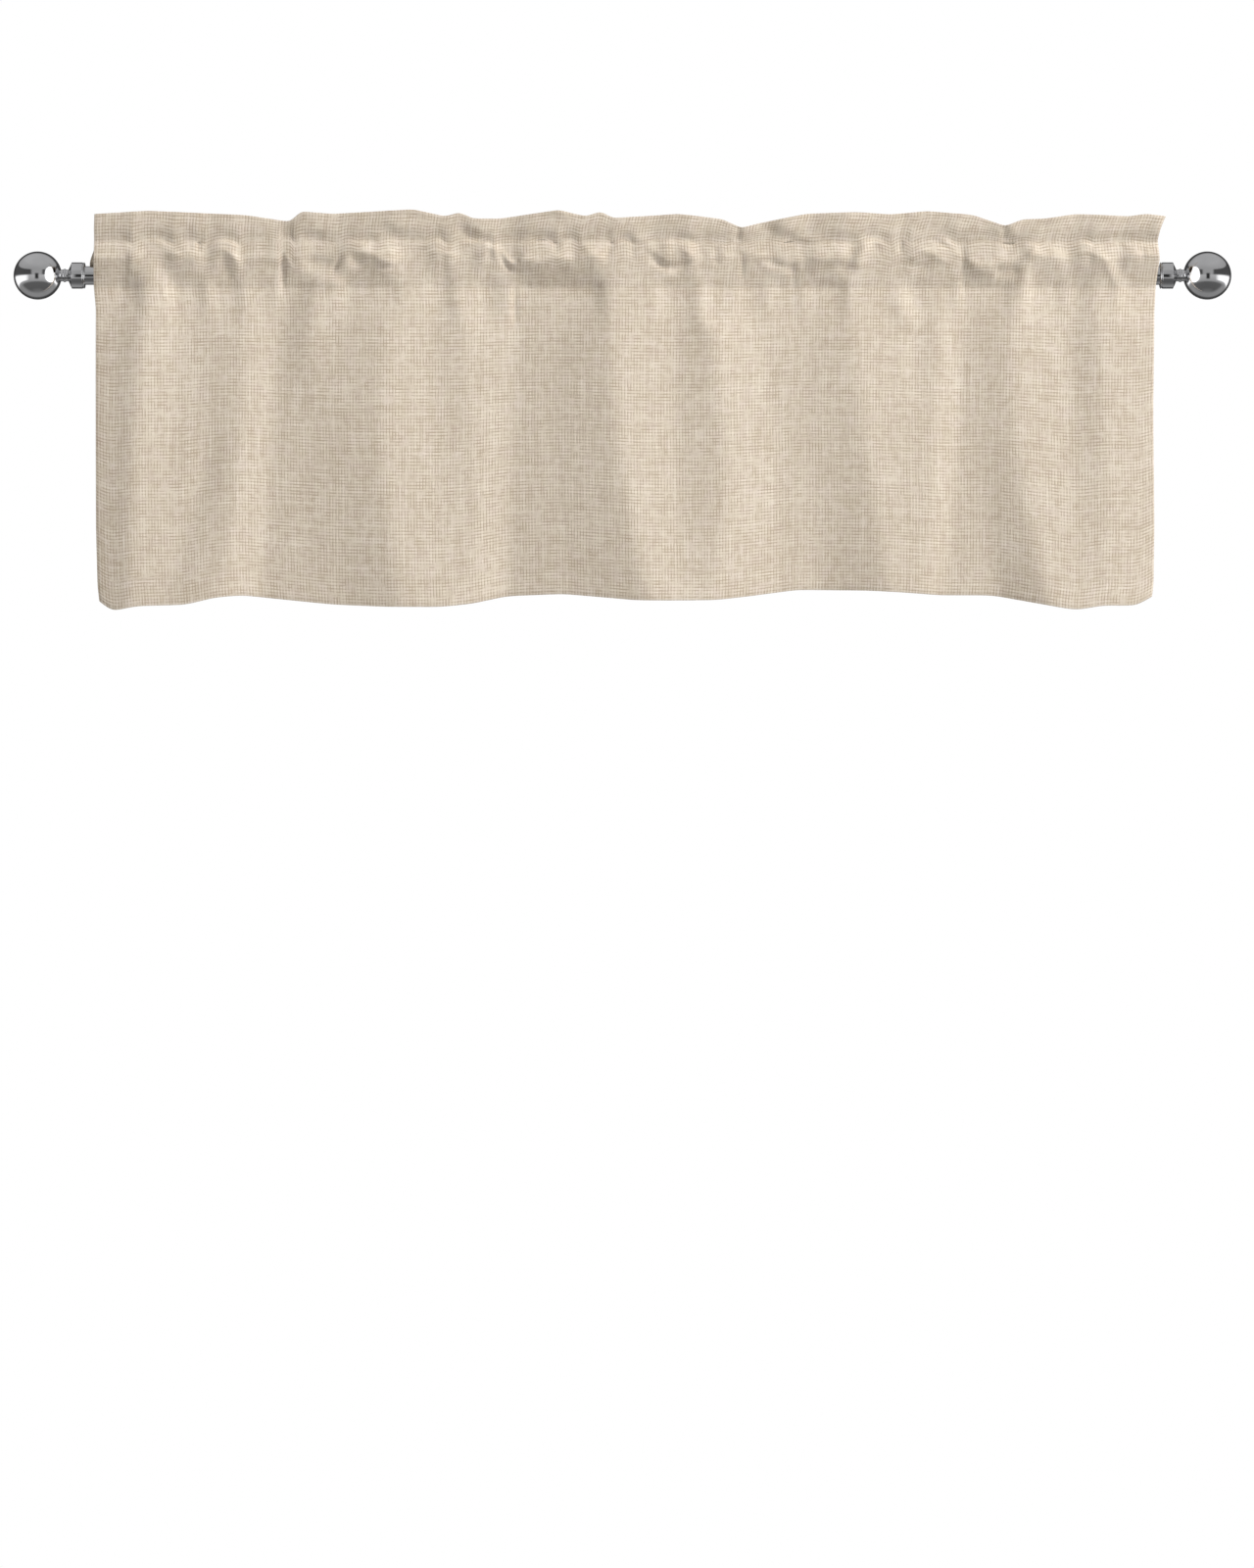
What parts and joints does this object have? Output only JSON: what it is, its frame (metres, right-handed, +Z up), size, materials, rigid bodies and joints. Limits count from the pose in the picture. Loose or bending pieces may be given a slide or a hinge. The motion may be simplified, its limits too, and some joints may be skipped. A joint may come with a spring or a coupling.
{
  "type": "window valance with rod",
  "caption": "Plain linen-look window valance, gathered by its rod pocket under a standing header, hung on a plain round metal rod with ball finials.",
  "frame": {"origin": "on the rod's axis at mid length, where the wall brackets hold the rod up", "axes": "+X along the rod to the right as seen from the room, +Y towards the wall, +Z up; the cloth's face looks along -Y"},
  "size_m": [1.438, 0.0568, 0.4678],
  "materials": {
    "linen_cloth": "matt slub weave in natural beige",
    "polished_steel": "mirror polished"
  },
  "bodies": {
    "root": {"valance_cloth": "linen_cloth", "rod_tube": "polished_steel", "left_end_cap": "polished_steel", "right_end_cap": "polished_steel", "left_finial": "polished_steel", "right_finial": "polished_steel"}
  },
  "joints": []
}
